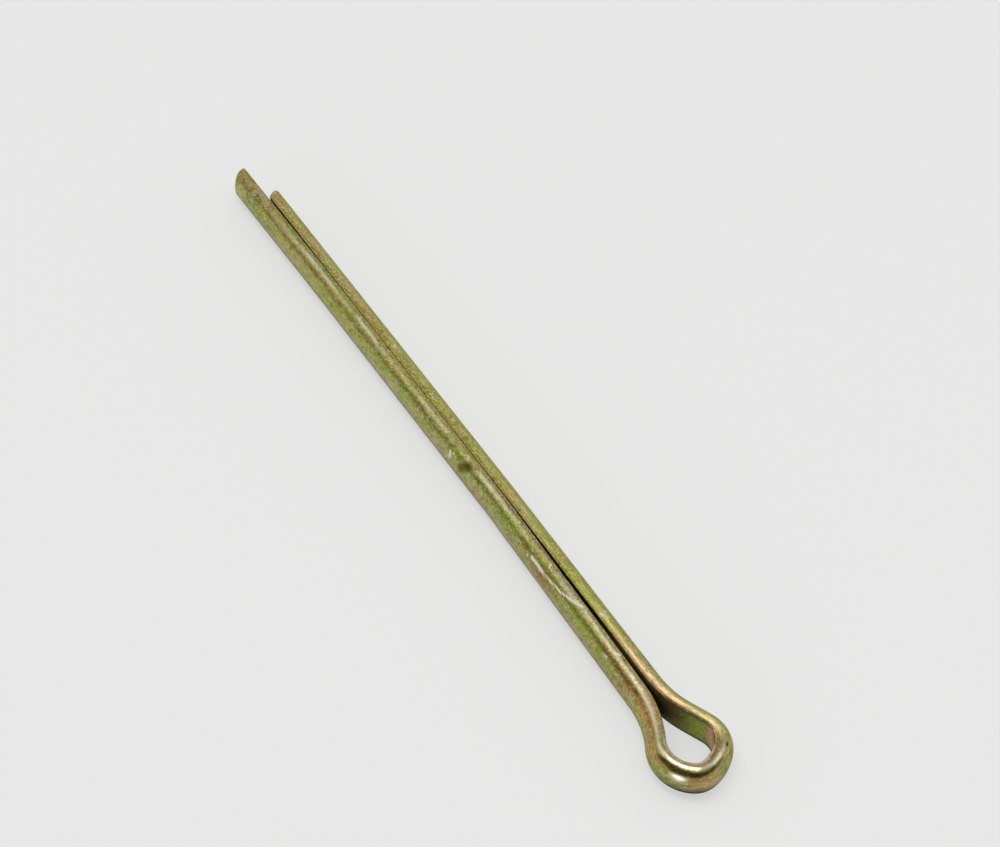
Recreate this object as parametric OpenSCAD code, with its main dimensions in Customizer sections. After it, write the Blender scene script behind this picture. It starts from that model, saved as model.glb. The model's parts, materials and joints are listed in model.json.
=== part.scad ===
// Split cotter pin folded from one length of half-round steel wire.
// X runs along the closed shank towards the tips, Y is positive on the long leg's side, and Z is up
// as the pin lies. The origin is on the shank's axis, where the two legs close together.

/* [Shank] */
// Diameter of the closed shank, two half-round legs together
shank_d = 4.6; // [4:0.05:5.2]
// Gap left between the two flats where the legs lie together
leg_gap = 0.05; // [0.03:0.01:0.12]
// Width of the broken edge along the two long corners of the half-round wire
edge_break = 0.12; // [0.05:0.01:0.25]
// Length of the short leg from where the legs close to its end
short_leg = 60.8; // [45:0.1:90]
// How far the long leg stands out past the short one
leg_excess = 5.4; // [3:0.1:10]

/* [Spring in the legs] */
// Angle between the long leg and the shank's line on the eye side
long_leg_spread = 1.45; // [1.2:0.05:2]
// Angle between the short leg and the shank's line on the eye side
short_leg_lean = 0.55; // [0.3:0.05:0.8]
// Straight run of the long leg between its closed part and the neck
long_run = 32; // [25:0.1:40]
// Where the long leg starts to spring off towards its tip
tip_spring_from = 44; // [20:1:50]
// Angle at which the long leg's end springs off
tip_spring = 0.55; // [0.1:0.05:0.8]
// Radius of the legs' slight bends
spring_r = 60; // [30:1:90]

/* [Tips] */
// Slant of the long leg's sheared end away from a square cut
long_tip_slant = 44; // [25:1:60]
// Square land left at the point of the slanted end
long_tip_land = 1.2; // [0.3:0.1:1.6]
// Length of the bevel on the inner edge of the short leg's end
short_bevel_l = 1.4; // [0.4:0.1:2]
// Width of the bevel on the inner edge of the short leg's end
short_bevel_w = 1.5; // [0.6:0.1:1.8]

/* [Eye] */
// Neck of the long leg: inside radius of the bend out to the eye
long_neck_r = 15.4; // [10:0.1:18]
// Neck of the long leg: angle of the bend
long_neck_turn = 28.7; // [25:0.1:32]
// Side of the eye at the long leg: inside radius
eye_side_r = 3.4; // [2.8:0.1:4.2]
// Side of the eye at the long leg: angle
eye_side_turn = 84.6; // [75:0.1:90]
// Tightest bend of the eye: inside radius
eye_nose_r = 1.2; // [0.8:0.1:1.8]
// Tightest bend of the eye: angle
eye_nose_turn = 48.2; // [40:0.1:55]
// Back of the eye: inside radius
eye_back_r = 5; // [4:0.1:6]
// Back of the eye: angle
eye_back_turn = 35.3; // [28:0.1:42]
// Shoulder of the eye before its straight flank: inside radius
eye_shoulder_r = 2.6; // [2:0.1:3.4]
// Shoulder of the eye before its straight flank: angle
eye_shoulder_turn = 65.6; // [60:0.1:72]
// Neck of the short leg: inside radius of the bend back to the shank
short_neck_r = 14.2; // [8:0.1:16]

/* [Hidden] */
$fn = 96;
wire_r = shank_d / 2;
half_gap = leg_gap / 2;
long_leg = short_leg + leg_excess;
flat_top = sqrt(wire_r ^ 2 - half_gap ^ 2) - edge_break;

// The wire's route is the middle plane of the shank carried round the eye. A pose is [x, y, heading]
// on it, and the wire's round side is always on the right of the heading. A left turn bends the
// flat inwards, a right turn (negative) bends it outwards.
function ahead(a) = [cos(a), sin(a)];
function spot(pose) = [pose[0], pose[1]];
function centre(pose, r, turn) = spot(pose) + sign(turn) * r * ahead(pose[2] + 90);
function after_bend(pose, r, turn) =
    let (end = centre(pose, r, turn) - sign(turn) * r * ahead(pose[2] + turn + 90))
    [end[0], end[1], pose[2] + turn];
function after_run(pose, length) =
    let (end = spot(pose) + length * ahead(pose[2]))
    [end[0], end[1], pose[2]];

eye_side = eye_side_r - half_gap;
eye_nose = eye_nose_r - half_gap;
eye_back = eye_back_r - half_gap;
eye_shoulder = eye_shoulder_r - half_gap;
long_neck = long_neck_r + half_gap;
short_neck = short_neck_r + half_gap;

// Long leg, from the end of its closed part to the eye and round it
long_spring = [0, 0, 180];
long_run_start = after_bend(long_spring, spring_r, -long_leg_spread);
long_neck_start = after_run(long_run_start, long_run);
eye_side_start = after_bend(long_neck_start, long_neck, -long_neck_turn);
eye_nose_start = after_bend(eye_side_start, eye_side, eye_side_turn);
eye_back_start = after_bend(eye_nose_start, eye_nose, eye_nose_turn);
eye_shoulder_start = after_bend(eye_back_start, eye_back, eye_back_turn);
flank_start = after_bend(eye_shoulder_start, eye_shoulder, eye_shoulder_turn);

// The flank's length and the short leg's run are what brings the wire back to the shank's axis
short_neck_turn = flank_start[2] - 360 + short_leg_lean;
flank_dir = ahead(flank_start[2]);
short_dir = ahead(-short_leg_lean);
neck_step = spot(after_bend([0, 0, flank_start[2]], short_neck, -short_neck_turn));
spring_step = spot(after_bend([0, 0, -short_leg_lean], spring_r, short_leg_lean));
to_close = -(spot(flank_start) + neck_step + spring_step);
flank_run = cross(to_close, short_dir) / cross(flank_dir, short_dir);
short_run = cross(to_close, flank_dir) / cross(short_dir, flank_dir);
short_neck_start = after_run(flank_start, flank_run);
short_run_start = after_bend(short_neck_start, short_neck, -short_neck_turn);
short_spring = after_run(short_run_start, short_run);

// Long leg's sprung end
tip_spring_end = after_bend([tip_spring_from, 0, 0], spring_r, tip_spring);
tip_length = (long_leg - tip_spring_end[0]) / cos(tip_spring);

// Sets a piece down in a round step and a fine one, so that neighbours meet exactly
module place(at) {
    coarse = [for (v = at) round(v * 100) / 100];
    translate([coarse[0], coarse[1], 0])
        translate([at[0] - coarse[0], at[1] - coarse[1], 0])
            children();
}

// Section of the wire, its round side towards +X and its two corners broken at 45 degrees
module half_round() {
    break_end = shank_d - flat_top;
    intersection() {
        circle(wire_r);
        polygon([
            [half_gap, -flat_top],
            [half_gap, flat_top],
            [half_gap + break_end, shank_d],
            [half_gap + break_end, -shank_d]
        ]);
    }
}

module bend(pose, r, turn) {
    left = turn > 0;
    place(centre(pose, r, turn))
        rotate_extrude(angle = turn, start = left ? pose[2] - 90 : pose[2] + 90)
            place([r, 0])
                mirror([left ? 0 : 1, 0])
                    half_round();
}

module run(pose, length) {
    place(spot(pose))
        rotate(pose[2])
            rotate([90, 0, 90])
                linear_extrude(length)
                    mirror([1, 0])
                        half_round();
}

// Long leg from its slanted end to where the legs close
module long_shank() {
    run([tip_spring_from, 0, 180], tip_spring_from);
    bend([tip_spring_end[0], tip_spring_end[1], 180 + tip_spring], spring_r, -tip_spring);
    difference() {
        mirror([0, 1, 0])
            run([tip_spring_end[0], -tip_spring_end[1], -tip_spring], tip_length);
        place([long_leg, long_tip_land + tip_spring_end[1] + tip_length * sin(tip_spring)])
            translate([0, 0, -shank_d])
                linear_extrude(2 * shank_d)
                    polygon([
                        [0, 0],
                        [-shank_d * tan(long_tip_slant), shank_d],
                        [shank_d, shank_d],
                        [shank_d, 0]
                    ]);
    }
}

// Short leg from where the legs close to its bevelled end
module short_shank() {
    difference() {
        run([0, 0, 0], short_leg);
        place([short_leg, 0])
            translate([0, 0, -shank_d])
                linear_extrude(2 * shank_d)
                    polygon([[-short_bevel_l, shank_d], [-short_bevel_l, 0], [0, -short_bevel_w], [shank_d, shank_d]]);
    }
}

module eye() {
    bend(eye_side_start, eye_side, eye_side_turn);
    bend(eye_nose_start, eye_nose, eye_nose_turn);
    bend(eye_back_start, eye_back, eye_back_turn);
    bend(eye_shoulder_start, eye_shoulder, eye_shoulder_turn);
    run(flank_start, flank_run);
}

module cotter_pin() {
    color("darkkhaki") {
        long_shank();
        bend(long_spring, spring_r, -long_leg_spread);
        run(long_run_start, long_run);
        bend(long_neck_start, long_neck, -long_neck_turn);
        eye();
        bend(short_neck_start, short_neck, -short_neck_turn);
        run(short_run_start, short_run);
        bend(short_spring, spring_r, short_leg_lean);
        short_shank();
    }
}

cotter_pin();
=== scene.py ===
import json
import math

import bpy
import numpy as np
from mathutils import Matrix, Vector, noise


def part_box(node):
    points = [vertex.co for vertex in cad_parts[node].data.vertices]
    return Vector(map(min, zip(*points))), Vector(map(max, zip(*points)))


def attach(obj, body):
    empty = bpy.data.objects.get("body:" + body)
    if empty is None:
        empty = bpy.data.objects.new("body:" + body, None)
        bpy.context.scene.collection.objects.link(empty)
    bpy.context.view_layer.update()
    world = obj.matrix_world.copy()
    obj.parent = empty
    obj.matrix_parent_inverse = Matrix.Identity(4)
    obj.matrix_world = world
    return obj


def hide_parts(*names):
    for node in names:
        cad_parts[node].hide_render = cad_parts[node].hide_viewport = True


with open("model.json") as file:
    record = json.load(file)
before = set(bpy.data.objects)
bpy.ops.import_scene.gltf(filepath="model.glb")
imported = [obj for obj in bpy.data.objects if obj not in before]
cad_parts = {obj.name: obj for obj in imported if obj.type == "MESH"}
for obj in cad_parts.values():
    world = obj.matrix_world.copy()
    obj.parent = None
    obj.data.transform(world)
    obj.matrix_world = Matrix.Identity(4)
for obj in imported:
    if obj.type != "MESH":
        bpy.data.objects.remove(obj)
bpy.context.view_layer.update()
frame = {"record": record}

# ---------------------------------------------------------------- Camera
# It looks down at about 50 degrees from behind the eye, on the long leg's side. The pin runs away from
# it, up and to the left. Its place, roll and lens were fitted to the pin's outline and rounded.
MM = 0.001
pin_low, pin_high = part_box("cotter_pin")
table_z = pin_low.z


def direction(azimuth, elevation):
    """The way to a place round the pin, from its azimuth and elevation in degrees."""
    azimuth, elevation = math.radians(azimuth), math.radians(elevation)
    return Vector((
        math.cos(elevation) * math.cos(azimuth),
        math.cos(elevation) * math.sin(azimuth),
        math.sin(elevation),
    ))


view_target = Vector((12.1 * MM, -7.5 * MM, table_z))
view_azimuth, view_elevation = 148.6, 49.9
view_distance = 331.3 * MM
view_roll = math.radians(-0.25)
camera_data = bpy.data.cameras.new("studio_camera")
camera_data.sensor_width = 36
camera_data.lens = 93.6
camera_data.clip_start = 0.01
camera = bpy.data.objects.new("studio_camera", camera_data)
toward_camera = direction(view_azimuth, view_elevation)
aim = toward_camera.to_track_quat("Z", "Y").to_matrix().to_4x4()
stand = Matrix.Translation(view_target + toward_camera * view_distance)
camera.matrix_world = stand @ aim @ Matrix.Rotation(view_roll, 4, "Z")
bpy.context.scene.collection.objects.link(camera)
bpy.context.scene.camera = camera

# ---------------------------------------------------------------- Wire
# The whole pin is one length of half-round steel wire. It is folded into the eye, lies flat to flat in
# the shank, and is cut at both ends, the long one at a slant.
wire_r = frame["record"]["mounts"][0]["dims"]["r_mm"]
# Lengths are in mm and turns in degrees. The wire's radius is read from the record and the long leg's
# reach from the solid's box. The other sizes repeat the solid's own, of which the bends were fitted to
# the pin's outline. The wire is set along a route that runs half a gap off its flat, so each bend's
# radius is the flat's own with half the gap added or taken off
half_gap = 0.025  # from the shank's axis to each closed leg
corner_r = 0.18  # long corners of the half round
short_leg = 60.8  # from where the legs close to the short tip
long_leg = pin_high.x / MM
tip_spring_from, tip_spring = 44, 0.55  # where the long leg springs off the short one, and by how much
spring_r = 60  # of the slight bends between the straight runs
long_leg_spread, short_leg_lean = 1.45, 0.55  # how the legs lean out of the shank towards the eye
long_run = 32  # of the long leg, from the closed shank to its neck
long_neck = (15.4 + half_gap, -28.7)
# Round the eye from the long neck: its side, the tightest bend, its back, and its shoulder by the flank
eye_bends = [(3.4 - half_gap, 84.6), (1.2 - half_gap, 48.2), (5 - half_gap, 35.3), (2.6 - half_gap, 65.6)]
short_neck_r = 14.2 + half_gap
long_tip_slant, long_tip_land = 44, 1.2  # sheared face, and the square land it leaves by the flat
short_bevel_l, short_bevel_w = 1.4, 1.5  # inner corner of the short tip, along and across the wire
tip_edge_r = 0.35  # rims of both tips, rounded


def ahead(angle):
    """Unit step in the shank's plane at an angle in degrees."""
    return np.array([math.cos(math.radians(angle)), math.sin(math.radians(angle))])


def bent(pose, radius, turn):
    """The pose [x, y, heading] after a bend; a left turn is positive."""
    centre = np.array(pose[:2]) + np.sign(turn) * radius * ahead(pose[2] + 90)
    end = centre - np.sign(turn) * radius * ahead(pose[2] + turn + 90)
    return [end[0], end[1], pose[2] + turn]


def straight(pose, length):
    """The pose [x, y, heading] after a straight run."""
    end = np.array(pose[:2]) + length * ahead(pose[2])
    return [end[0], end[1], pose[2]]


def cross(a, b):
    return a[0] * b[1] - a[1] * b[0]


# The bends that are known, from where the legs close round to the eye's flank
pose = bent([0, 0, 180], spring_r, -long_leg_spread)
pose = straight(pose, long_run)
pose = bent(pose, *long_neck)
for radius, turn in eye_bends:
    pose = bent(pose, radius, turn)
flank_heading = pose[2]
short_neck = (short_neck_r, -(flank_heading - 360 + short_leg_lean))
# The flank and the short leg's run are as long as brings the wire back to the shank's axis
back = -(
    np.array(pose[:2])
    + bent([0, 0, flank_heading], *short_neck)[:2]
    + bent([0, 0, -short_leg_lean], spring_r, short_leg_lean)[:2]
)
flank_way, short_way = ahead(flank_heading), ahead(-short_leg_lean)
flank_run = cross(back, short_way) / cross(flank_way, short_way)
short_run = cross(back, flank_way) / cross(short_way, flank_way)
tip_bend = bent([tip_spring_from, 0, 0], spring_r, tip_spring)
tip_run = (long_leg - tip_bend[0]) / math.cos(math.radians(tip_spring))

# The route from the long tip to the short one, each stretch as (length, turn)
stretches = [(tip_run, 0), (spring_r * math.radians(tip_spring), -tip_spring), (tip_spring_from, 0)]
stretches += [(spring_r * math.radians(long_leg_spread), -long_leg_spread), (long_run, 0)]
stretches += [(radius * abs(math.radians(turn)), turn) for radius, turn in [long_neck] + eye_bends]
stretches += [(flank_run, 0), (short_neck[0] * abs(math.radians(short_neck[1])), short_neck[1])]
stretches += [(short_run, 0), (spring_r * math.radians(short_leg_lean), short_leg_lean), (short_leg, 0)]
stretch_ends = np.concatenate([[0], np.cumsum([length for length, _ in stretches])])
turned_by = np.concatenate([[0], np.cumsum([turn for _, turn in stretches])])
wire_length = stretch_ends[-1]

# Bends ease in and out over a millimetre, as wire does, so the heading is smoothed along the route,
# which is followed in steps of about a hundredth of a millimetre
bend_ease = 1.0
steps_per_mm = 100
route_s = np.linspace(0, wire_length, int(wire_length * steps_per_mm) + 1)
route_step = route_s[1]
ease = np.hanning(int(bend_ease / route_step) + 2)[1:-1]
ease /= ease.sum()
route_heading = np.pad(np.interp(route_s, stretch_ends, turned_by), len(ease), "edge")
route_heading = np.convolve(route_heading, ease, "same")[len(ease):-len(ease)]
route_heading = np.radians(route_heading + 180 + tip_spring)
step_heading = (route_heading[1:] + route_heading[:-1]) / 2
long_tip = straight([tip_bend[0], tip_bend[1], tip_spring], tip_run)
route_x = long_tip[0] + np.concatenate([[0], np.cumsum(np.cos(step_heading)) * route_step])
route_y = long_tip[1] + np.concatenate([[0], np.cumsum(np.sin(step_heading)) * route_step])
# What the easing leaves over at the short tip is shared out along the wire
route_x += (short_leg - route_x[-1]) * route_s / wire_length
route_y += (0 - route_y[-1]) * route_s / wire_length


def half_round(flat_points=13, corner_points=6, round_points=38):
    """Section outline as rows of u out from the flat, z up, normal u, normal z and way round in mm.
    The way round is 0 at the upper corner, positive over the round side, negative down the flat."""
    corner_u = half_gap + corner_r
    corner_z = math.sqrt((wire_r - corner_r) ** 2 - corner_u**2)
    meet = math.atan2(corner_z, corner_u)
    corner_share = 8  # the corner is so small that its turn counts for an eighth
    rows = []
    for z in np.linspace(-corner_z, corner_z, flat_points):
        rows.append((half_gap, z, -1, 0, z - wire_r))
    for turn in np.linspace(math.pi, meet, corner_points + 1)[1:]:
        n = (math.cos(turn), math.sin(turn))
        way_round = wire_r * (meet - turn) / corner_share
        rows.append((corner_u + corner_r * n[0], corner_z + corner_r * n[1], *n, way_round))
    for turn in np.linspace(meet, -meet, round_points + 1)[1:]:
        n = (math.cos(turn), math.sin(turn))
        rows.append((wire_r * n[0], wire_r * n[1], *n, wire_r * (math.pi / 2 - turn)))
    for turn in np.linspace(-meet, -math.pi, corner_points + 1)[1:-1]:
        n = (math.cos(turn), math.sin(turn))
        rows.append((corner_u + corner_r * n[0], -corner_z + corner_r * n[1], *n, wire_r * math.pi))
    return np.array(rows)


section_u, section_z, section_nu, section_nz, section_a = half_round().T
per_ring = len(section_u)


def eased_slope(distance, softness):
    """The distance where it is positive and 0 where it isn't, rounded off between."""
    return softness * np.logaddexp(0, distance / softness)


def long_tip_back(u):
    """How far the long leg's sheared face lies behind its point, at u out from the flat."""
    return eased_slope(u - long_tip_land, 0.25) * math.tan(math.radians(long_tip_slant))


def short_tip_back(u):
    """How far the short leg's end lies behind its point, at u out from the flat."""
    return eased_slope(short_bevel_w - u, 0.2) * short_bevel_l / short_bevel_w


def tip_rings(tip_back):
    """Rings of an end with a rounded rim, from the middle of its face out: u, z and distance from the tip."""
    centre_u = 0.98  # middle of the half round
    out = np.hypot(section_u - centre_u, section_z)
    way_u, way_z = (section_u - centre_u) / out, section_z / out
    rings = []
    for share in (0.2, 0.4, 0.6, 0.8):
        u, z = centre_u + way_u * (out - tip_edge_r) * share, way_z * (out - tip_edge_r) * share
        rings.append((u, z, tip_back(u)))
    for turn in np.radians(np.linspace(90, 0, 7)):
        inset = out - tip_edge_r * (1 - math.cos(turn))
        u, z = centre_u + way_u * inset, way_z * inset
        rings.append((u, z, tip_back(u) + tip_edge_r * (1 - math.sin(turn))))
    return rings


# Rings along the wire: both tips' own rings, and between them evenly spaced ones that blend from the cut
ring_step = 0.15
blend_length = 5.0
start_cut = long_tip_back(section_u) + tip_edge_r
end_cut = -short_tip_back(section_u) - tip_edge_r
rings = tip_rings(long_tip_back)
for s in np.linspace(0, wire_length, int(wire_length / ring_step))[1:-1]:
    near_start = max(0, 1 - s / blend_length)
    near_end = max(0, 1 - (wire_length - s) / blend_length)
    rings.append((section_u, section_z, s + near_start * start_cut + near_end * end_cut))
for u, z, from_tip in reversed(tip_rings(short_tip_back)):
    rings.append((u, z, wire_length - from_tip))
ring_u, ring_z, ring_s = (np.array(values) for values in zip(*rings))
ring_a = np.broadcast_to(section_a, ring_s.shape)

# ---------------------------------------------------------------- Marks on the wire
# The wire has scratches, nicks and one pit, most of them pale. They are cut into the surface here, and
# the passivation's uneven colours are laid out over it, with painted highlights and shade among them.
depth = np.zeros(ring_s.shape)
bare = np.zeros(ring_s.shape)


def spot(s, a, length, width):
    """How much of a soft oval lies at each point of the wire, 0 to 1. Its place is s mm from the long tip
    and a mm round from the upper corner, as it is for every mark and cloud."""
    return np.exp(-(((ring_s - s) / (length / 2)) ** 2) - (((ring_a - a) / (width / 2)) ** 2))


def stroke(path, width):
    """How much of a soft line from place to place (s, a) lies at each point of the wire, 0 to 1."""
    mark = np.zeros(ring_s.shape)
    for (s0, a0), (s1, a1) in zip(path, path[1:]):
        run = np.array([s1 - s0, a1 - a0])
        t = np.clip(((ring_s - s0) * run[0] + (ring_a - a0) * run[1]) / (run @ run), 0, 1)
        off = np.hypot(ring_s - s0 - t * run[0], ring_a - a0 - t * run[1])
        mark = np.maximum(mark, np.exp(-((off / (width / 2)) ** 2)))
    return mark


# Scratches and nicks, each as its path, width, depth and how far it shows as bare metal
for path, width, cut, worn in (
    # one long scratch across the wire near the neck, in three parts and a branch
    (((76.8, 1.93), (78.2, 1.90), (79.4, 1.95)), 0.32, 0.02, 1.0),
    (((79.2, 1.97), (80.6, 1.88), (81.8, 1.72), (83.2, 1.62), (84.5, 1.22)), 0.17, 0.02, 1.0),
    (((84.5, 1.22), (85.8, 0.86), (86.7, 0.48)), 0.24, 0.02, 1.0),
    (((83.4, 1.50), (84.6, 1.28), (85.6, 1.18)), 0.10, 0.01, 0.7),
    # nicks on the long leg, from the tip's side to the neck
    (((53.6, 2.05), (53.7, 2.35)), 0.14, 0.01, 0.5),
    (((57.2, 2.85), (57.3, 3.00)), 0.18, 0.01, 0.4),
    (((57.3, 2.00), (57.5, 2.15)), 0.24, 0.01, 0.9),
    (((57.6, 2.35), (57.7, 2.65)), 0.26, 0.01, 0.9),
    (((58.0, 1.75), (58.1, 1.85)), 0.20, 0.01, 0.8),
    (((61.8, 1.95), (61.9, 2.10)), 0.16, 0.01, 0.6),
    (((65.0, 2.15), (65.1, 2.35)), 0.16, 0.01, 0.7),
    (((76.0, 2.10), (76.2, 2.30)), 0.18, 0.01, 0.9),
    (((79.4, 0.60), (79.6, 0.95)), 0.16, 0.01, 1.0),
    (((93.2, 1.93), (93.9, 1.81)), 0.15, 0.01, 0.8),
    (((94.2, 0.80), (94.8, 0.36)), 0.20, 0.02, 1.0),
    # nicks on the short leg
    (((138.3, 0.80), (137.9, 1.12)), 0.16, 0.01, 0.8),
    (((138.8, 0.40), (138.4, 0.68)), 0.28, 0.02, 1.0),
    (((139.0, 1.15), (138.7, 1.35)), 0.20, 0.01, 0.7),
    (((188.0, 0.70), (188.4, 1.10)), 0.20, 0.01, 0.7),
):
    mark = stroke(path, width)
    depth = np.maximum(depth, cut * mark)
    bare = np.maximum(bare, worn * mark)
# A pit pressed in across the wire, and its raised rim towards the tip
pit_depth, rim_height = 0.05, 0.02
pit = stroke(((61.1, 1.40), (60.7, 1.85), (60.1, 2.35)), 1.4)
depth += pit_depth * pit - rim_height * spot(58.9, 2.1, 0.9, 1.6)

# The film's colours, some of them partly painted highlight and shade, in the order in which they lie on each
# other
film_and_light_colours = {
    "straw": "#CCC470",  # low on the sides
    "green": "#6C901A",  # patches on the outer side and inside the eye
    "lime": "#A0B028",  # the middle of some of those patches
    "yellow": "#CEC846",  # short leg's upper edge behind the neck
    "olive": "#74701A",  # wide dull areas, and the edges along the gap, where it is partly painted shade
    "brown": "#7A5824",  # beside the bright line on the crown, and near both tips
    "rust": "#A8661E",  # the outside of the necks, and small spots
    "tan": "#B08650",  # round the eye
    "pale": "#BAB894",  # the crown, partly as a painted highlight along it
    "dusty": "#BEB8AC",  # low on the long leg
    "drab": "#7A6C4C",  # the long leg's edge along the gap, partly painted shade, and painted shade along its lower edge
    "grey": "#A09070",  # between that edge and the crown
    "rose": "#BE9482",  # pinkish film in the eye and along its top
    "cream": "#FFE2A4",  # the short neck's upper edge, a painted highlight over pale film
    "peach": "#FFC69A",  # behind it, partly painted highlight, and pinkish film inside the eye
    "residue": "#B8A040",  # between the flats
}
# Marks laid over the film: the pit, painted highlight over wear, painted shade, and polish
worn_and_painted_light = ("rubbed_and_highlight", "silver_highlight", "pit", "painted_shade", "polish")
stain = {name: np.zeros(ring_s.shape) for name in (*film_and_light_colours, *worn_and_painted_light)}
stain["pit"] = np.clip(1.8 * pit - 0.4, 0, 1)  # its floor, dark up to a sharp edge

# The bright line along the wire's crown, thin on the legs and pale grey round the eye, is a painted
# highlight, partly over worn metal, and the dark corners of the eye's inner wall are painted shade.
# Being paint, they stay in place under any light. Each is a path, width and strength
for name, path, width, strength in (
    ("rubbed_and_highlight", ((18.5, 0.82), (23, 0.80), (27, 0.84)), 0.30, 0.35),
    ("rubbed_and_highlight", ((32.4, 0.74), (35.0, 0.78), (37.2, 0.82)), 0.30, 0.5),
    ("rubbed_and_highlight", ((48, 0.80), (55, 0.78)), 0.30, 0.25),
    ("rubbed_and_highlight", ((63, 0.84), (70, 0.80)), 0.30, 0.3),
    ("rubbed_and_highlight", ((87.0, 0.52), (89.8, 0.62), (91.4, 0.70), (93.1, 0.74), (94.4, 0.68)), 0.30, 0.5),
    ("rubbed_and_highlight", ((94.4, 0.68), (95.7, 0.70), (97.6, 0.80)), 0.30, 0.5),
    ("rubbed_and_highlight", ((97.6, 0.80), (99.4, 0.85), (101, 0.96), (103, 0.98), (105, 1.02)), 0.42, 0.58),
    ("rubbed_and_highlight", ((105, 1.02), (107, 1.00), (109.2, 0.94)), 0.42, 0.58),
    ("rubbed_and_highlight", ((107.5, 0.02), (114.6, 0.02)), 0.20, 0.6),
    ("silver_highlight", ((109.4, 0.90), (110.2, 0.80), (111, 0.74), (112.3, 0.78)), 0.32, 1.0),
    ("rubbed_and_highlight", ((112.8, 0.84), (113.4, 0.92), (114, 1.08), (115, 1.22), (116.3, 1.34)), 0.34, 0.7),
    ("painted_shade", ((118, -0.16), (125, -0.16)), 0.30, 0.7),
    ("painted_shade", ((117.5, -4.5), (128, -4.5)), 0.9, 0.9),
    ("painted_shade", ((117.5, 7.2), (128, 7.2)), 0.5, 0.9),
):
    stain[name] = np.maximum(stain[name], strength * stroke(path, width))
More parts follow.
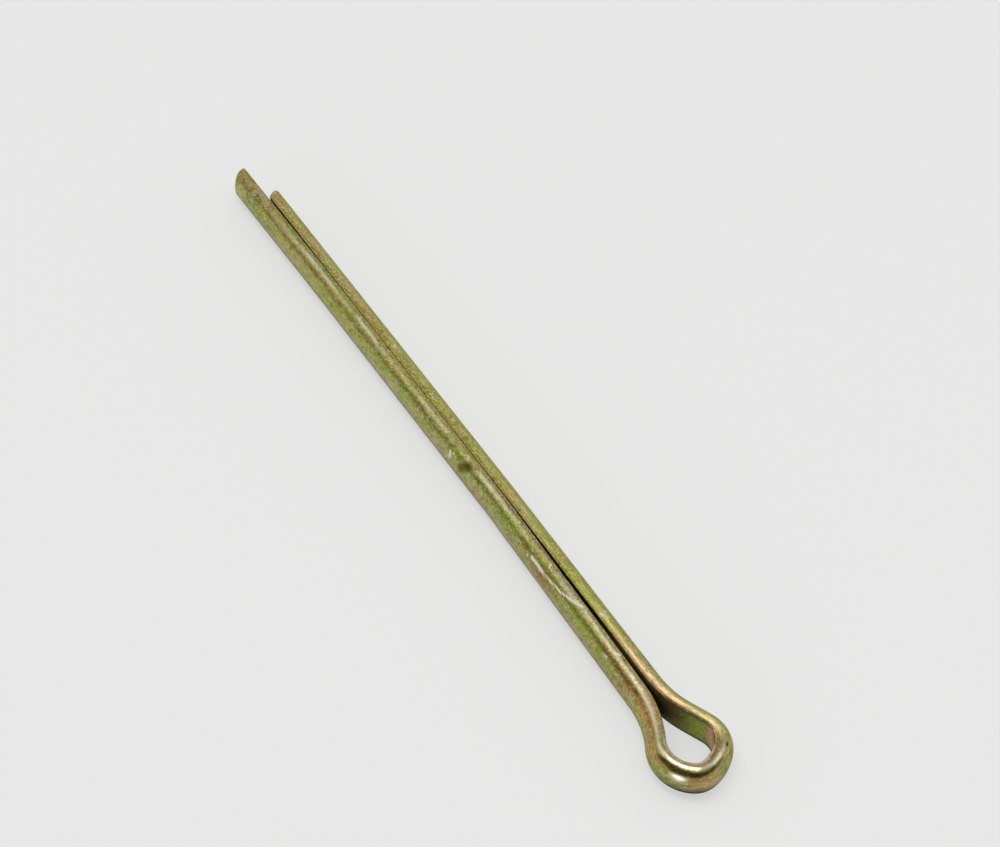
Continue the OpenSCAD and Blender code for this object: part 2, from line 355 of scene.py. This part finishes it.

# The passivation took unevenly: each colour lies in long clouds, given as s, a, length, width, strength,
# and some clouds are painted highlight and painted shade. The eye's front has one bright spot, a painted
# highlight, and the neck and the eye's underside are darkened as painted shade. Polish isn't a colour: it
# is where the surface is smoothest
for name, clouds in {
    "straw": (
        (2.0, 3.2, 5, 2.0, 1.2), (6, 3.2, 10, 1.4, 0.6), (28, 3.1, 66, 1.6, 1.0), (104, 2.9, 8, 1.6, 0.7),
        (117.5, 1.5, 3, 1.6, 0.6), (141, 0.4, 8, 0.5, 0.6), (170, 0.2, 30, 0.3, 0.4),
        (180, 1.7, 84, 1.2, 0.4),
    ),
    "green": (
        (7.8, 2.5, 8, 1.1, 1.3), (10.5, 2.9, 7, 0.9, 0.8), (16, 2.9, 8, 0.8, 0.5),
        (28, 2.3, 15, 1.1, 0.8), (37, 1.1, 6, 0.5, 0.5), (37, 2.8, 9, 0.7, 0.5), (45, 1.9, 16, 1.0, 0.8),
        (50, 2.9, 8, 0.7, 0.5), (58.4, 1.6, 5, 1.5, 0.9), (64, 1.5, 6, 0.9, 0.8),
        (71.0, 1.6, 5.5, 1.6, 1.4), (74.5, 2.0, 5, 1.0, 0.7), (84, 2.6, 6, 0.8, 0.5),
        (88, 2.1, 10, 1.4, 0.9), (95, 2.3, 6, 0.8, 0.6), (110.2, 2.9, 1.5, 1.8, 1.0),
        (114.6, 2.7, 1.6, 1.8, 0.8), (118, 2.0, 3, 1.6, 0.6), (120.5, -2.4, 3.0, 4.6, 2.0),
        (124, 1.5, 5, 0.6, 0.4), (142, 0.5, 12, 0.6, 0.7), (152, 0.9, 6, 0.8, 0.7),
        (168, 0.7, 14, 0.7, 0.6), (180, 0.9, 18, 0.8, 0.6),
    ),
    "lime": (
        (8.6, 2.4, 5, 1.0, 0.8), (27, 2.3, 6, 0.8, 0.4), (27.2, 2.6, 10, 0.9, 0.8),
        (35, 2.7, 12, 0.8, 0.5), (58.6, 1.6, 3, 1.2, 0.6), (72, 1.3, 5, 1.0, 0.7), (89, 2.2, 6, 1.2, 0.7),
        (120.2, -2.5, 3.0, 4.0, 1.2), (152, 0.5, 7, 0.5, 0.4), (188, 0.4, 4, 0.5, 0.4),
    ),
    "yellow": (
        (135.5, 0.20, 5, 0.5, 1.0), (141, 0.26, 14, 0.52, 1.4), (150, 0.5, 6, 0.4, 0.5),
        (152, 0.15, 12, 0.3, 0.5),
    ),
    "olive": (
        (4, 1.2, 8, 1.6, 0.8), (15, 0.16, 14, 0.5, 1.8), (22, 1.50, 28, 0.6, 0.7),
        (30, 0.18, 20, 0.36, 1.0), (50, 1.45, 24, 0.5, 0.6), (52, 0.13, 60, 0.36, 0.9),
        (93, 1.35, 12, 0.5, 0.7), (160, 0.7, 12, 0.5, 0.5), (174, 0.75, 14, 0.5, 0.6),
        (175, 0.0, 88, 0.14, 1.5), (192, 0.70, 22, 0.6, 1.2), (205, 0.55, 26, 0.6, 1.1),
    ),
    "brown": (
        (3.5, 1.50, 5, 0.6, 0.7), (5.8, 1.0, 1.8, 1.3, 0.9), (10, 1.45, 8, 0.4, 0.6),
        (66, 1.35, 4, 0.4, 0.5), (69, 0.2, 10, 0.6, 1.1), (74.8, 1.6, 2.6, 0.9, 0.7),
        (79.2, 2.35, 5.5, 1.2, 1.2), (80.5, 2.3, 1.5, 0.7, 0.8), (81.2, 1.30, 5.5, 0.6, 0.6),
        (86, 0.20, 40, 0.35, 0.9), (97, 1.5, 9, 0.7, 0.8), (103.5, 0.35, 11, 0.6, 0.9),
        (104, 0.45, 9, 0.5, 0.6), (108, 0.2, 6, 0.5, 0.9), (111.8, 1.45, 6, 0.7, 0.8),
        (112.6, 2.8, 1.4, 2.2, 0.4), (116.4, 0.5, 2.6, 0.7, 0.8), (118.2, 0.05, 3.2, 0.4, 1.2),
        (121.5, -0.05, 8, 0.30, 1.4), (170, 0.6, 5, 0.4, 0.5), (196, 0.6, 9, 0.4, 0.5),
        (207, 0.6, 12, 0.7, 0.6), (213, 0.45, 9, 0.5, 0.8), (218, 0.7, 6, 1.0, 1.0),
    ),
    "rust": (
        (15.2, 1.70, 2.2, 0.5, 0.8), (22.5, 1.38, 6, 0.50, 0.8), (28, 1.50, 6, 0.50, 0.6),
        (33, 1.75, 5, 0.45, 0.7), (42, 1.3, 3, 0.4, 0.7), (48.5, 1.35, 3, 0.4, 0.6),
        (53, 1.3, 2.4, 0.35, 0.5), (66.2, 1.4, 2.0, 0.4, 0.5), (71, 0.0, 15, 0.20, 1.5),
        (75.5, 1.5, 2.0, 0.4, 0.6), (78.4, 2.7, 2.6, 0.5, 0.7), (80.6, 2.35, 1.4, 0.6, 0.8),
        (91, 2.2, 1.2, 0.8, 0.4), (95, 0.25, 5, 0.4, 0.6), (95.2, 1.42, 6.5, 0.5, 0.9),
        (97.5, 1.55, 6, 0.5, 0.7), (102.5, 0.30, 11, 0.6, 0.9), (103.4, 1.70, 8.5, 0.85, 1.5),
        (107, 1.9, 4, 1.1, 1.0), (116.0, 0.5, 2.6, 0.7, 1.2), (124.3, -2.0, 3.4, 5.0, 1.2),
        (131, 0.02, 6, 0.25, 0.7), (194, 0.6, 5, 0.4, 0.6), (200, 0.85, 5, 0.4, 0.6),
        (218, 0.9, 4, 0.5, 0.4),
    ),
    "tan": (
        (2.2, 1.9, 3.0, 1.3, 0.4), (103, 0.25, 12, 0.6, 0.8), (108.6, 2.2, 3, 1.4, 0.5),
        (112.7, 2.75, 1.5, 2.0, 1.2), (132.8, 0.25, 3.5, 0.45, 1.0), (148, 0.9, 2.5, 0.5, 0.5),
        (160.5, 0.2, 4, 0.4, 0.6), (213, 0.45, 14, 0.6, 0.8),
    ),
    "pale": (
        (0.3, 2.2, 0.9, 4.0, 0.6), (6, 3.4, 12, 1.1, 0.8), (15, 1.2, 10, 0.4, 0.5),
        (18, 3.2, 14, 0.9, 0.7), (19, 0.85, 12, 0.6, 0.9), (34, 0.85, 20, 0.4, 0.8),
        (50, 0.85, 18, 0.4, 0.8), (57.8, 2.4, 1.3, 1.4, 0.5), (66, 0.85, 16, 0.6, 0.9),
        (93, 0.75, 20, 0.5, 0.5), (112, 0.60, 8, 0.9, 0.5), (114, 3.2, 3, 1.2, 0.6),
        (114.2, 0.8, 3, 0.9, 0.8), (124, 1.35, 12, 0.8, 0.7), (157, 1.2, 6, 0.9, 0.4),
        (200, 1.4, 30, 0.8, 0.3), (221.3, 0.8, 1.2, 2.0, 0.8),
    ),
    "dusty": (
        (6.2, 0.45, 4.0, 0.5, 0.8), (15, 3.7, 26, 1.0, 1.0), (18.5, 0.8, 8, 0.4, 0.5),
        (40, 3.6, 30, 1.1, 1.2), (55, 3.5, 16, 1.0, 1.1), (70, 3.5, 18, 1.2, 1.0),
        (83.6, 0.6, 4.5, 0.5, 0.7), (88, 3.6, 22, 1.1, 0.9), (104, 3.8, 10, 1.0, 0.7),
    ),
    "drab": (
        (30, 0.14, 20, 0.40, 1.3), (46, 4.3, 130, 0.9, 0.8), (48, 0.14, 26, 0.40, 1.3),
        (68, 0.16, 18, 0.48, 1.7), (90, 0.20, 16, 0.56, 1.5), (111.2, 0.0, 5.0, 0.25, 0.8),
        (111.2, 0.46, 6.0, 0.42, 1.7),
    ),
    "grey": (
        (20, 0.5, 12, 0.4, 0.4), (48, 0.4, 36, 0.4, 0.5), (86, 0.45, 40, 0.5, 0.7),
        (128.5, 0.95, 5, 0.5, 0.5), (130, 1.8, 12, 0.8, 0.4), (202, 0.9, 8, 0.5, 0.4),
    ),
    "rose": (
        (34, 2.9, 3, 0.5, 0.4), (49, 2.9, 3, 0.5, 0.5), (66, 3.1, 5, 0.6, 0.5), (79, 3.2, 4, 0.6, 0.5),
        (98, 0.5, 8, 0.4, 0.5), (102.5, 0.45, 12, 0.5, 0.8), (107, 0.45, 4, 0.5, 0.7),
        (111.3, 0.20, 5.5, 0.40, 0.9), (113.9, 0.6, 2.6, 0.5, 0.6), (116, 0.1, 1.6, 0.5, 1.0),
        (117.7, -1.8, 2.0, 4.6, 2.0), (216, 0.5, 12, 0.5, 0.2),
    ),
    "cream": (
        (114.4, 0.12, 2.8, 0.5, 1.8), (119.8, 0.60, 4.6, 0.80, 1.8), (125, 0.68, 10, 0.62, 1.6),
        (130.5, 0.50, 9, 0.50, 1.4), (136, 0.65, 6, 0.4, 0.8),
    ),
    "peach": (
        (117.7, -1.9, 2.0, 4.6, 1.1), (125.5, 0.34, 9, 0.46, 0.9), (130, -0.35, 8, 0.6, 1.0),
        (130.5, 0.16, 7, 0.50, 1.5), (154, 0.15, 9, 0.35, 0.5), (159, 0.3, 4, 0.4, 0.3),
    ),
    "residue": ((44, -0.40, 42, 0.9, 1.0), (93, -0.2, 12, 0.6, 0.6), (182, -0.40, 42, 0.9, 1.0)),
    "rubbed_and_highlight": ((111.25, 2.25, 1.1, 0.85, 1.3),),
    "painted_shade": (
        (111.8, 4.6, 5.4, 1.8, 1.3), (116.5, 1.6, 0.45, 0.35, 1.5), (129.2, -2.9, 10.5, 4.4, 2.1),
    ),
    "polish": (
        (104, 0.9, 14, 2.0, 0.6), (111.3, 2.25, 2.5, 1.4, 1.0), (111.5, 0.8, 12, 4.0, 1.0),
        (118, 0.8, 8, 3.0, 0.7),
    ),
}.items():
    for s, a, length, width, strength in clouds:
        on_its_side = ring_a < 0.02 if a < -1 else 1  # a cloud down the flat stays off the round side
        stain[name] = np.maximum(stain[name], strength * spot(s, a, length, width) * on_its_side)

# The drawn wire is never quite even: low waves of about a hundredth of a millimetre, 2 mm long and 0.8 mm
# wide with finer ones on them, lower where the eye is polished
wave_height, wave_middle, polished_away = 0.010, 0.6, 0.7
waves = np.array([
    noise.noise((s / 2.0, u / 0.8, z / 0.8)) + 0.6 * noise.noise((s / 0.8, u / 0.5, z / 0.5 + 40))
    for s, u, z in zip(ring_s.ravel(), ring_u.ravel(), ring_z.ravel())
]).reshape(ring_s.shape)
depth += wave_height * (waves + wave_middle) * (1 - polished_away * stain["polish"])
# Painted shade, residue and bare scratches take no mirror
matt = np.clip(stain["painted_shade"] + stain["residue"] + bare, 0, 1)

# The rings are set along the route, each point pushed in along its own normal by the depth of its marks
place_u = ring_u - depth * section_nu
place_z = ring_z - depth * section_nz
ring_heading = np.interp(ring_s, route_s, route_heading)
points = np.stack([
    np.interp(ring_s, route_s, route_x) + np.sin(ring_heading) * place_u,
    np.interp(ring_s, route_s, route_y) - np.cos(ring_heading) * place_u,
    place_z,
], axis=-1) * MM
verts = points.reshape(-1, 3)
verts = np.concatenate([verts, [verts[:per_ring].mean(0), verts[-per_ring:].mean(0)]])
long_tip_middle, short_tip_middle = len(verts) - 2, len(verts) - 1
last_ring = (len(rings) - 1) * per_ring
faces = []
for start in range(0, last_ring, per_ring):
    for i in range(per_ring):
        j = (i + 1) % per_ring
        faces.append((start + i, start + j, start + per_ring + j, start + per_ring + i))
for i in range(per_ring):
    j = (i + 1) % per_ring
    faces.append((long_tip_middle, j, i))
    faces.append((short_tip_middle, last_ring + i, last_ring + j))
wire_mesh = bpy.data.meshes.new("cotter_pin_wire")
wire_mesh.from_pydata(verts.tolist(), [], faces)
wire_mesh.shade_smooth()
wire = bpy.data.objects.new("cotter_pin_wire", wire_mesh)
bpy.context.scene.collection.objects.link(wire)


def with_ends(values):
    """One value per vertex, the middles of both tips included."""
    flat = values.reshape(-1)
    return np.concatenate([flat, [flat[0], flat[-1]]]).astype(np.float32)


straightened = np.stack([with_ends(ring_s), with_ends(ring_u), with_ends(ring_z)], -1)
wire_mesh.attributes.new("straightened_mm", "FLOAT_VECTOR", "POINT").data.foreach_set(
    "vector", straightened.ravel())
for name, values in {**stain, "bare": bare, "matt": matt}.items():
    wire_mesh.attributes.new(name, "FLOAT", "POINT").data.foreach_set("value", with_ends(values))


def linear(hex_colour):
    """sRGB hex to the linear colour that shaders take."""
    parts = [int(hex_colour[i:i + 2], 16) / 255 for i in (1, 3, 5)]
    return [p / 12.92 if p <= 0.04045 else ((p + 0.055) / 1.055) ** 2.4 for p in parts] + [1]


def add(tree, kind, inputs=None, **settings):
    """Adds a node: settings are its own values, inputs its sockets' values or the sockets they link from."""
    node = tree.nodes.new(kind)
    for name, value in settings.items():
        setattr(node, name, value)
    for name, value in (inputs or {}).items():
        if isinstance(value, bpy.types.NodeSocket):
            tree.links.new(value, node.inputs[name])
        else:
            node.inputs[name].default_value = value
    return node


# Zinc plate with yellow passivation: a metal whose thin film shows olive yellow, with green, brown and
# pinkish clouds where the film is thicker or thinner. It is satin, and shows the studio softly.
# Some of its highlights and shade are painted into its colour, and stay put under any light.
plate = bpy.data.materials.new("yellow_passivated_zinc")
plate.use_nodes = True
tree = plate.node_tree
tree.nodes.clear()
place = add(tree, "ShaderNodeAttribute", attribute_name="straightened_mm").outputs["Vector"]
painted = {
    name: add(tree, "ShaderNodeAttribute", attribute_name=name).outputs["Fac"]
    for name in (*stain, "bare", "matt")
}

# Every grain of the surface as a noise, with its length along the wire and its width across it in mm,
# and how many finer levels it has
grains = {}
for name, length, width, detail in (
    ("film", 6.0, 1.4, 4.0),
    ("green drift", 4.5, 1.5, 2.0),
    ("dull drift", 4.0, 1.3, 2.0),
    ("cloud edge", 1.8, 0.6, 3.0),
    ("green blotch", 1.6, 0.8, 3.0),
    ("brown blotch", 1.5, 0.7, 3.0),
    ("dull blotch", 0.9, 0.6, 3.0),
    ("pale speck", 0.55, 0.38, 3.0),
    ("dark speck", 0.60, 0.40, 3.0),
    ("glint", 0.26, 0.22, 1.0),
    ("crystals", 0.45, 0.30, 3.0),
    ("die lines", 9.0, 0.12, 2.0),
    ("satin", 1.2, 0.5, 3.0),
):
    scaled = add(tree, "ShaderNodeVectorMath", {
        0: place, 1: (1 / length, 1 / width, 1 / width)}, operation="MULTIPLY")
    grains[name] = add(tree, "ShaderNodeTexNoise", {
        "Vector": scaled.outputs[0], "Scale": 1.0, "Detail": detail, "Roughness": 0.6}).outputs["Fac"]

# The colour is laid on in layers, each a share from 0 to 1 and its shade. The crown is greyer, partly as a
# painted sheen of the white card it mirrors. Over it lie wide drifts of green and of a dull pinkish grey,
# and blotches of the zinc's crystals, 1 to 2 mm across. A share grows to its most as the grain goes from low
# to high
layers = []
out_from_flat = add(tree, "ShaderNodeSeparateXYZ", {"Vector": place}).outputs["Y"]
for value, low, high, most, shade in (
    (out_from_flat, 1.5, 2.25, 0.6, "#ACAA62"),
    (grains["green drift"], 0.50, 0.62, 0.60, "#749620"),
    (grains["dull drift"], 0.50, 0.38, 0.50, "#AC9068"),
    (grains["green blotch"], 0.52, 0.66, 0.65, "#7C9428"),
    (grains["brown blotch"], 0.48, 0.34, 0.50, "#8C6836"),
):
    share = add(tree, "ShaderNodeMapRange", {
        "Value": value, "From Min": low, "From Max": high, "To Max": most})
    layers.append((share.outputs[0], shade))
# The clouds of colour, their edges broken up by a finer grain
broken = add(tree, "ShaderNodeMapRange", {
    "Value": grains["cloud edge"], "From Min": 0.36, "From Max": 0.60, "To Min": 0.35, "To Max": 1.0})
for name, shade in film_and_light_colours.items():
    share = add(tree, "ShaderNodeMath", {
        0: painted[name], 1: broken.outputs[0]}, operation="MULTIPLY", use_clamp=True)
    layers.append((share.outputs[0], shade))
# Specks of single crystals, pale and dark, 0.3 to 0.9 mm across
for name, low, high, most, shade in (
    ("dull blotch", 0.52, 0.66, 0.36, "#B0A086"),
    ("pale speck", 0.52, 0.64, 0.50, "#C0BC90"),
    ("dark speck", 0.47, 0.33, 0.57, "#52481E"),
    ("glint", 0.58, 0.70, 0.50, "#D8D6A8"),
):
    share = add(tree, "ShaderNodeMapRange", {
        "Value": grains[name], "From Min": low, "From Max": high, "To Max": most})
    layers.append((share.outputs[0], shade))
# What lies on top: the bright lines of painted highlight, the pit's floor, the painted shade, and bare zinc
# in the scratches
for name, most, shade in (
    ("rubbed_and_highlight", 0.90, "#E6DCC8"),
    ("silver_highlight", 0.90, "#AAA298"),
    ("pit", 0.85, "#5A5200"),
    ("painted_shade", 0.90, "#241A10"),
    ("bare", 1.00, "#FAF6E4"),
):
    share = add(tree, "ShaderNodeMath", {0: painted[name], 1: most}, operation="MULTIPLY", use_clamp=True)
    layers.append((share.outputs[0], shade))

# Under them all is the film itself: long clouds of olive, brownish to greenish
film = add(tree, "ShaderNodeValToRGB", {"Fac": grains["film"]})
ramp = film.color_ramp
ramp.elements[0].position, ramp.elements[0].color = 0.32, linear("#887230")
ramp.elements[1].position, ramp.elements[1].color = 0.68, linear("#7E9430")
for position, shade in ((0.43, "#968A3A"), (0.50, "#A09C42"), (0.58, "#949A3A")):
    ramp.elements.new(position).color = linear(shade)
colour = film.outputs["Color"]
for share, shade in layers:
    mixed = add(tree, "ShaderNodeMix", {0: share, 6: colour, 7: linear(shade)}, data_type="RGBA")
    colour = mixed.outputs[2]

# Die lines from drawing the wire, 0.1 mm wide and many millimetres long, and the crystals' own relief.
# Both fade where the wire is polished round the eye.
line_share = 0.18
relief = add(tree, "ShaderNodeMath", {
    0: grains["die lines"], 1: line_share, 2: grains["crystals"]}, operation="MULTIPLY_ADD")
unpolished = add(tree, "ShaderNodeMath", {0: 1.0, 1: painted["polish"]}, operation="SUBTRACT")
relief_left = add(tree, "ShaderNodeMath", {
    0: relief.outputs[0], 1: unpolished.outputs[0]}, operation="MULTIPLY")
bump = add(tree, "ShaderNodeBump", {
    "Height": relief_left.outputs[0], "Strength": 1.0, "Distance": 0.03 * MM})
# Satin metal, smoother where it is polished. Painted shade, residue and worn scratches are matt, no mirror
roughness = add(tree, "ShaderNodeMapRange", {
    "Value": grains["satin"], "From Min": 0.3, "From Max": 0.7, "To Min": 0.22, "To Max": 0.34}).outputs[0]
for name, change in (("polish", -0.10), ("matt", 0.5)):
    roughness = add(tree, "ShaderNodeMath", {
        0: painted[name], 1: change, 2: roughness}, operation="MULTIPLY_ADD").outputs[0]
clean = add(tree, "ShaderNodeMath", {0: 1.0, 1: painted["matt"]}, operation="SUBTRACT").outputs[0]
film_gloss = add(tree, "ShaderNodeMath", {0: clean, 1: 0.20}, operation="MULTIPLY").outputs[0]
shader = add(tree, "ShaderNodeBsdfPrincipled", {
    "Base Color": colour,
    "Metallic": clean,
    "Roughness": roughness,
    "Specular Tint": linear("#DDD8B8"),
    "Coat Weight": film_gloss,
    "Coat Roughness": 0.10,
    "Coat IOR": 1.6,
    "Normal": bump.outputs["Normal"],
    "Coat Normal": bump.outputs["Normal"],
})
add(tree, "ShaderNodeOutputMaterial", {"Surface": shader.outputs["BSDF"]})
wire_mesh.materials.append(plate)

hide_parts("cotter_pin")
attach(wire, "root")

# ---------------------------------------------------------------- Table
# A sheet of matt white card that the pin lies on. It runs well past the view on every side.
table_mesh = bpy.data.meshes.new("table_card")
reach = 3.0
table_mesh.from_pydata(
    [(-reach, -reach, table_z), (reach, -reach, table_z), (reach, reach, table_z), (-reach, reach, table_z)],
    [], [(0, 1, 2, 3)],
)
table = bpy.data.objects.new("table_card", table_mesh)
bpy.context.scene.collection.objects.link(table)
card = bpy.data.materials.new("matt_white_card")
card.use_nodes = True
card_tree = card.node_tree
card_tree.nodes.clear()
paper = add(card_tree, "ShaderNodeBsdfDiffuse", {"Color": linear("#F8F8F8"), "Roughness": 0.5})
# Its own pale tone for what is seen directly, so the pin's shadow stays light. The metal mirrors only a
# little of that tone, and otherwise the card as it is lit
tone = add(card_tree, "ShaderNodeEmission", {"Color": linear("#E9EAEA"), "Strength": 1.0})
seen_share, mirrored_share = 0.64, 0.08
ray = add(card_tree, "ShaderNodeLightPath").outputs
seen = add(card_tree, "ShaderNodeMath", {
    0: ray["Is Camera Ray"], 1: ray["Is Transmission Ray"]}, operation="MAXIMUM")
mirrored = add(card_tree, "ShaderNodeMath", {
    0: ray["Is Glossy Ray"], 1: mirrored_share}, operation="MULTIPLY")
tone_share = add(card_tree, "ShaderNodeMath", {
    0: seen.outputs[0], 1: seen_share, 2: mirrored.outputs[0]}, operation="MULTIPLY_ADD")
card_look = add(card_tree, "ShaderNodeMixShader", {
    0: tone_share.outputs[0], 1: paper.outputs[0], 2: tone.outputs[0]})
add(card_tree, "ShaderNodeOutputMaterial", {"Surface": card_look.outputs[0]})
table_mesh.materials.append(card)

# ---------------------------------------------------------------- Studio light
# A white tent round the table, with one rectangular softbox over it. The tent has an opening on the
# camera's side and a few lit panels. They were placed so that the polished eye mirrors a dark
# band and bright strips from the camera, which plain soft light wouldn't show.
world = bpy.data.worlds.new("light_tent")
bpy.context.scene.world = world
world.use_nodes = True
tent = world.node_tree
tent.nodes.clear()
way = add(tent, "ShaderNodeTexCoord").outputs["Generated"]
height = add(tent, "ShaderNodeSeparateXYZ", {"Vector": way}).outputs["Z"]
# Plain cloth, a little brighter near the table, which lights it from below
cloth = add(tent, "ShaderNodeMapRange", {
    "Value": height, "From Min": 0.0, "From Max": 0.5, "To Min": 0.95, "To Max": 0.68}).outputs[0]
tent_light = add(tent, "ShaderNodeCombineColor", {"Red": cloth, "Green": cloth, "Blue": cloth}).outputs[0]
# Its lit, plain and open parts, each a round area with a soft edge: azimuth, elevation, half angle and
# softness in degrees, and its level
for azimuth, elevation, half_angle, soft, level in (
    # the wide plain side behind the camera
    (150, 4, 42, 14, (0.60, 0.60, 0.60)),
    # lit panels, a shaded seam between two of them, and a low bright strip on the camera's side
    (36, 50, 12, 8, (1.15, 1.13, 1.06)),
    (306, 28, 15, 8, (1.26, 1.23, 1.14)),
    (247, 38, 9, 5, (1.3, 1.3, 1.25)),
    (285, 53, 11, 6, (0.40, 0.35, 0.30)),
    (104, 12, 7, 3, (1.3, 1.3, 1.4)),
    (124, 12, 7, 3, (1.2, 1.2, 1.3)),
    (114, 12, 9, 3, (1.8, 1.8, 1.9)),
    # the opening, an arch from one side of the camera over to the other
    (58, 33, 9, 5, (0.30, 0.25, 0.18)),
    (238, 19, 7, 4, (0.50, 0.44, 0.32)),
    (232, 27, 8, 4, (0.34, 0.29, 0.20)),
    (222, 34, 9, 4, (0.14, 0.12, 0.08)),
    (195, 41, 13, 4, (0.13, 0.11, 0.07)),
    (170, 44, 15, 3, (0.13, 0.11, 0.07)),
    (145, 46, 16, 3, (0.12, 0.10, 0.06)),
    (120, 46, 17, 3, (0.12, 0.10, 0.06)),
    (95, 46, 17, 3, (0.12, 0.10, 0.06)),
    (74, 45, 14, 3, (0.12, 0.10, 0.06)),
):
    toward = add(tent, "ShaderNodeVectorMath", {
        0: way, 1: direction(azimuth, elevation)}, operation="DOT_PRODUCT")
    area = add(tent, "ShaderNodeMapRange", {
        "Value": toward.outputs["Value"],
        "From Min": math.cos(math.radians(half_angle + soft)),
        "From Max": math.cos(math.radians(half_angle - soft)),
    }, interpolation_type="SMOOTHSTEP")
    mixed = add(tent, "ShaderNodeMix", {
        0: area.outputs[0], 6: tent_light, 7: (*level, 1)}, data_type="RGBA")
    tent_light = mixed.outputs[2]
sky = add(tent, "ShaderNodeBackground", {"Color": tent_light, "Strength": 1.0})
add(tent, "ShaderNodeOutputWorld", {"Surface": sky.outputs[0]})

# The softbox hangs nearly overhead, its long side turned across the pin. Its half sizes are angles as
# the pin sees them
softbox_distance = 1.5
softbox_half_length, softbox_half_width = math.radians(22), math.radians(8.8)
softbox_way = direction(88, 80.6)
long_side = direction(30, 0)
softbox_data = bpy.data.lights.new("softbox", "AREA")
softbox_data.shape = "RECTANGLE"
softbox_data.size = 2 * softbox_distance * math.tan(softbox_half_length)
softbox_data.size_y = 2 * softbox_distance * math.tan(softbox_half_width)
softbox_data.energy = 6.2
softbox = bpy.data.objects.new("softbox", softbox_data)
long_side = (long_side - softbox_way * long_side.dot(softbox_way)).normalized()
turned = Matrix((long_side, softbox_way.cross(long_side), softbox_way)).transposed().to_4x4()
softbox.matrix_world = Matrix.Translation(softbox_way * softbox_distance) @ turned
softbox.visible_camera = False
bpy.context.scene.collection.objects.link(softbox)

bpy.context.scene.view_settings.view_transform = "Standard"
